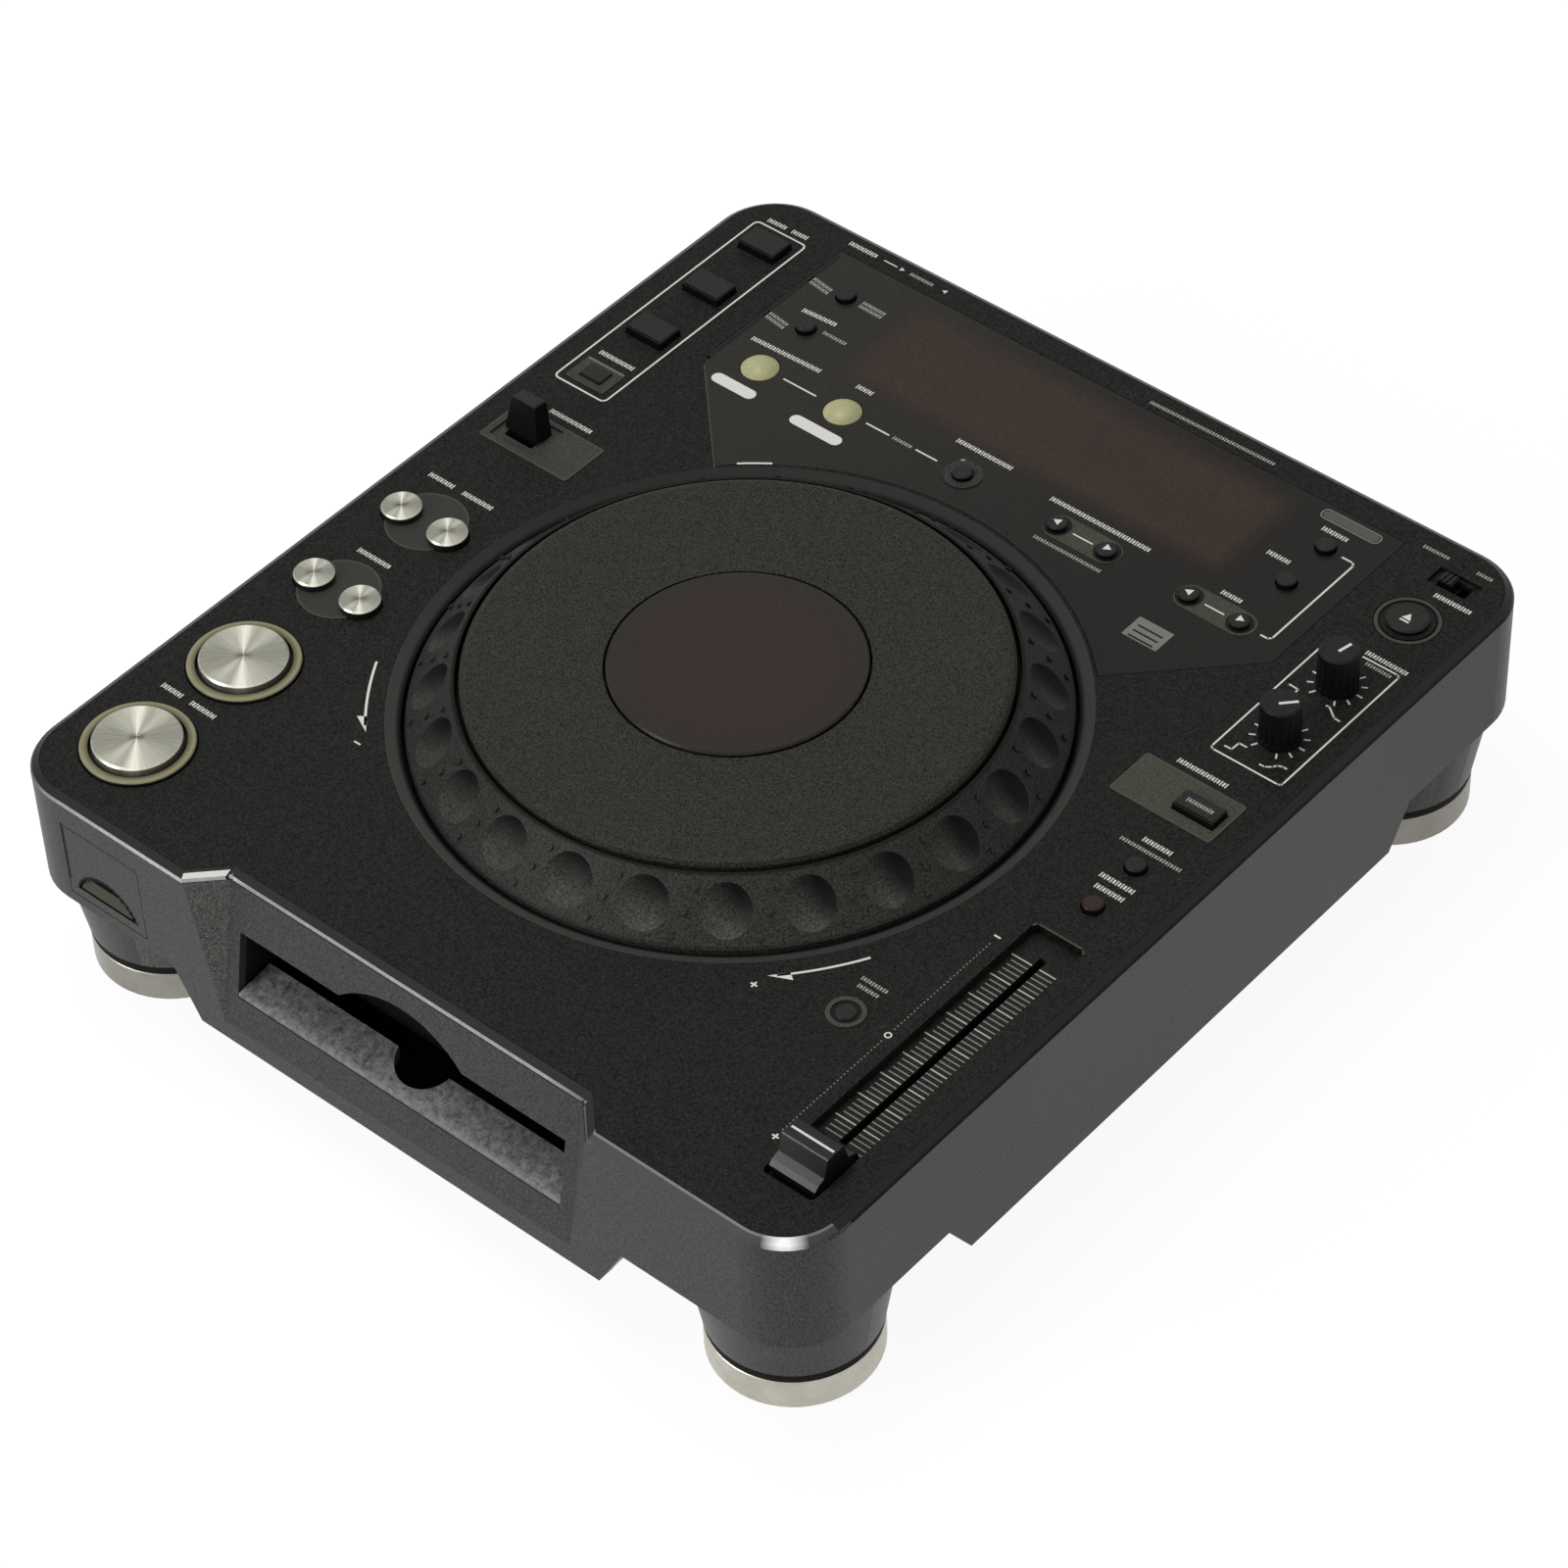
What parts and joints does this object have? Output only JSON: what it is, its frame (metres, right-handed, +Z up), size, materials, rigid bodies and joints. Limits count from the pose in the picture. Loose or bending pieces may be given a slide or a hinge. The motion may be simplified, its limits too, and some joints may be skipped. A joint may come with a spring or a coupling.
{
  "type": "tabletop disc player",
  "caption": "Tabletop DJ disc player with a slot drive, a big dimpled jog dial, a tempo fader, lever, knobs and press buttons.",
  "frame": {"origin": "centre of the plan, on the floor under the feet", "axes": "+Z up, front with the disc slot faces -Y, +X to the right hand side"},
  "size_m": [0.32, 0.359, 0.103],
  "materials": {
    "cabinet_grey": "satin metallic dark grey",
    "panel_black": "fine grained near-black",
    "inner_steel": "plain sheet",
    "rear_black": "matte",
    "jack_metal": "plated",
    "foot_metal": "satin, slightly warm",
    "rubber": "matte",
    "slot_black": "matte",
    "lip_grey": "light grey, fine grained",
    "smoked": "smoked, glossy",
    "display": "dark red-brown",
    "dial_grey": "dark grey, fine grained",
    "plate_grey": "satin dark grey",
    "board": "green circuit board",
    "light_plate": "light grey",
    "key_black": "semi-gloss black",
    "key_red": "dark translucent red",
    "silver": "spun silver",
    "ring_cream": "translucent pale yellow",
    "cream": "cream, domed",
    "white_nylon": "natural nylon"
  },
  "bodies": {
    "case": {"cabinet": "cabinet_grey", "top_panel": "panel_black", "bottom_pan": "cabinet_grey", "rear_panel": "rear_black", "rear_jacks": "jack_metal", "foot_rings": "foot_metal", "foot_cores": "rubber", "front_liners": "slot_black", "slot_lip": "lip_grey", "display_window": "smoked", "display_module": "display", "jog_post": "slot_black", "jog_window": "smoked", "drive_frame": "inner_steel", "power_supply": "board", "key_board": "board", "lever_plate": "light_plate", "mode_plate": "light_plate", "fader_plate": "slot_black"},
    "dial": {"jog_ring": "dial_grey", "jog_plate": "plate_grey"},
    "dial_encoder": {"jog_encoder": "white_nylon"},
    "hot_key_1": {"hot_key_1": "key_black"},
    "hot_key_2": {"hot_key_2": "key_black"},
    "hot_key_3": {"hot_key_3": "key_black"},
    "rec_key": {"rec_key": "key_black"},
    "track_back": {"track_back": "silver"},
    "track_next": {"track_next": "silver"},
    "search_back": {"search_back": "silver"},
    "search_next": {"search_next": "silver"},
    "time_key": {"time_key": "key_black"},
    "text_key": {"text_key": "key_black"},
    "loop_in": {"loop_in": "cream"},
    "loop_out": {"loop_out": "cream"},
    "loop_exit": {"loop_exit": "key_black"},
    "wave_back": {"wave_back": "key_black"},
    "wave_next": {"wave_next": "key_black"},
    "call_back": {"call_back": "key_black"},
    "call_next": {"call_next": "key_black"},
    "memory_key": {"memory_key": "key_black"},
    "delete_key": {"delete_key": "key_black"},
    "eject_key": {"eject_key": "key_black"},
    "mode_key": {"mode_key": "key_black"},
    "range_key": {"range_key": "key_black"},
    "keylock_key": {"keylock_key": "key_red"},
    "reset_key": {"reset_key": "key_black"},
    "cue_button": {"cue_cap": "silver", "cue_ring": "ring_cream"},
    "play_button": {"play_cap": "silver", "play_ring": "ring_cream"},
    "lever": {"direction_lever": "key_black"},
    "knob_touch": {"knob_touch": "key_black"},
    "knob_release": {"knob_release": "key_black"},
    "fader": {"tempo_fader": "key_black"},
    "lock_switch": {"lock_slider": "key_black"},
    "rocker": {"power_rocker": "key_black"},
    "door": {"card_door": "cabinet_grey"},
    "roller": {"feed_roller": "rubber"},
    "hub": {"disc_hub": "white_nylon"},
    "pickup": {"pickup_sled": "slot_black"}
  },
  "joints": [
    {"name": "dial_spin", "type": "hinge", "parent": "case", "child": "dial", "pos_m": [0, -0.0186, 0.085], "axis": [0, 0, 1], "continuous": true},
    {"name": "encoder_spin", "type": "hinge", "parent": "case", "child": "dial_encoder", "pos_m": [0, -0.1088, 0.075], "axis": [0, 0, 1], "continuous": true},
    {"name": "hot_key_1_press", "type": "slide", "parent": "case", "child": "hot_key_1", "axis": [0, 0, -1], "range_m": [0, 0.0012], "stiffness_N_per_m": 700},
    {"name": "hot_key_2_press", "type": "slide", "parent": "case", "child": "hot_key_2", "axis": [0, 0, -1], "range_m": [0, 0.0012], "stiffness_N_per_m": 700},
    {"name": "hot_key_3_press", "type": "slide", "parent": "case", "child": "hot_key_3", "axis": [0, 0, -1], "range_m": [0, 0.0012], "stiffness_N_per_m": 700},
    {"name": "rec_key_press", "type": "slide", "parent": "case", "child": "rec_key", "axis": [0, 0, -1], "range_m": [0, 0.0012], "stiffness_N_per_m": 700},
    {"name": "track_back_press", "type": "slide", "parent": "case", "child": "track_back", "axis": [0, 0, -1], "range_m": [0, 0.0012], "stiffness_N_per_m": 700},
    {"name": "track_next_press", "type": "slide", "parent": "case", "child": "track_next", "axis": [0, 0, -1], "range_m": [0, 0.0012], "stiffness_N_per_m": 700},
    {"name": "search_back_press", "type": "slide", "parent": "case", "child": "search_back", "axis": [0, 0, -1], "range_m": [0, 0.0012], "stiffness_N_per_m": 700},
    {"name": "search_next_press", "type": "slide", "parent": "case", "child": "search_next", "axis": [0, 0, -1], "range_m": [0, 0.0012], "stiffness_N_per_m": 700},
    {"name": "time_key_press", "type": "slide", "parent": "case", "child": "time_key", "axis": [0, 0, -1], "range_m": [0, 0.0012], "stiffness_N_per_m": 700},
    {"name": "text_key_press", "type": "slide", "parent": "case", "child": "text_key", "axis": [0, 0, -1], "range_m": [0, 0.0012], "stiffness_N_per_m": 700},
    {"name": "loop_in_press", "type": "slide", "parent": "case", "child": "loop_in", "axis": [0, 0, -1], "range_m": [0, 0.0012], "stiffness_N_per_m": 700},
    {"name": "loop_out_press", "type": "slide", "parent": "case", "child": "loop_out", "axis": [0, 0, -1], "range_m": [0, 0.0012], "stiffness_N_per_m": 700},
    {"name": "loop_exit_press", "type": "slide", "parent": "case", "child": "loop_exit", "axis": [0, 0, -1], "range_m": [0, 0.0012], "stiffness_N_per_m": 700},
    {"name": "wave_back_press", "type": "slide", "parent": "case", "child": "wave_back", "axis": [0, 0, -1], "range_m": [0, 0.0012], "stiffness_N_per_m": 700},
    {"name": "wave_next_press", "type": "slide", "parent": "case", "child": "wave_next", "axis": [0, 0, -1], "range_m": [0, 0.0012], "stiffness_N_per_m": 700},
    {"name": "call_back_press", "type": "slide", "parent": "case", "child": "call_back", "axis": [0, 0, -1], "range_m": [0, 0.0012], "stiffness_N_per_m": 700},
    {"name": "call_next_press", "type": "slide", "parent": "case", "child": "call_next", "axis": [0, 0, -1], "range_m": [0, 0.0012], "stiffness_N_per_m": 700},
    {"name": "memory_key_press", "type": "slide", "parent": "case", "child": "memory_key", "axis": [0, 0, -1], "range_m": [0, 0.0012], "stiffness_N_per_m": 700},
    {"name": "delete_key_press", "type": "slide", "parent": "case", "child": "delete_key", "axis": [0, 0, -1], "range_m": [0, 0.0012], "stiffness_N_per_m": 700},
    {"name": "eject_key_press", "type": "slide", "parent": "case", "child": "eject_key", "axis": [0, 0, -1], "range_m": [0, 0.0012], "stiffness_N_per_m": 700},
    {"name": "mode_key_press", "type": "slide", "parent": "case", "child": "mode_key", "axis": [0, 0, -1], "range_m": [0, 0.0012], "stiffness_N_per_m": 700},
    {"name": "range_key_press", "type": "slide", "parent": "case", "child": "range_key", "axis": [0, 0, -1], "range_m": [0, 0.0012], "stiffness_N_per_m": 700},
    {"name": "keylock_key_press", "type": "slide", "parent": "case", "child": "keylock_key", "axis": [0, 0, -1], "range_m": [0, 0.0012], "stiffness_N_per_m": 700},
    {"name": "reset_key_press", "type": "slide", "parent": "case", "child": "reset_key", "axis": [0, 0, -1], "range_m": [0, 0.0012], "stiffness_N_per_m": 700},
    {"name": "cue_button_press", "type": "slide", "parent": "case", "child": "cue_button", "axis": [0, 0, -1], "range_m": [0, 0.0012], "stiffness_N_per_m": 1500},
    {"name": "play_button_press", "type": "slide", "parent": "case", "child": "play_button", "axis": [0, 0, -1], "range_m": [0, 0.0012], "stiffness_N_per_m": 1500},
    {"name": "lever_tilt", "type": "hinge", "parent": "case", "child": "lever", "pos_m": [-0.1366, 0.0334, 0.0775], "axis": [1, 0, 0], "range_deg": [0, 14]},
    {"name": "knob_touch_turn", "type": "hinge", "parent": "case", "child": "knob_touch", "pos_m": [0.1378, 0.1022, 0.085], "axis": [0, 0, 1], "range_deg": [-150, 150]},
    {"name": "knob_release_turn", "type": "hinge", "parent": "case", "child": "knob_release", "pos_m": [0.1378, 0.0728, 0.085], "axis": [0, 0, 1], "range_deg": [-150, 150]},
    {"name": "fader_slide", "type": "slide", "parent": "case", "child": "fader", "axis": [0, 1, 0], "range_m": [0, 0.1]},
    {"name": "lock_slide", "type": "slide", "parent": "case", "child": "lock_switch", "axis": [1, 0, 0], "range_m": [0, 0.005]},
    {"name": "rocker_tilt", "type": "hinge", "parent": "case", "child": "rocker", "pos_m": [0.112, 0.1655, 0.062], "axis": [1, 0, 0], "range_deg": [-8, 8]},
    {"name": "door_swing", "type": "hinge", "parent": "case", "child": "door", "pos_m": [-0.11885, -0.17825, 0.0728], "axis": [1, 0, 0], "range_deg": [-95, 0]},
    {"name": "roller_spin", "type": "hinge", "parent": "case", "child": "roller", "pos_m": [0, -0.1405, 0.0429], "axis": [1, 0, 0], "continuous": true},
    {"name": "hub_spin", "type": "hinge", "parent": "case", "child": "hub", "pos_m": [0, -0.0815, 0.042], "axis": [0, 0, 1], "continuous": true},
    {"name": "pickup_slide", "type": "slide", "parent": "case", "child": "pickup", "axis": [0, 1, 0], "range_m": [0, 0.024]}
  ],
  "couplings": [
    {"joint": "encoder_spin", "follows": "dial_spin", "ratio": 12.312}
  ]
}
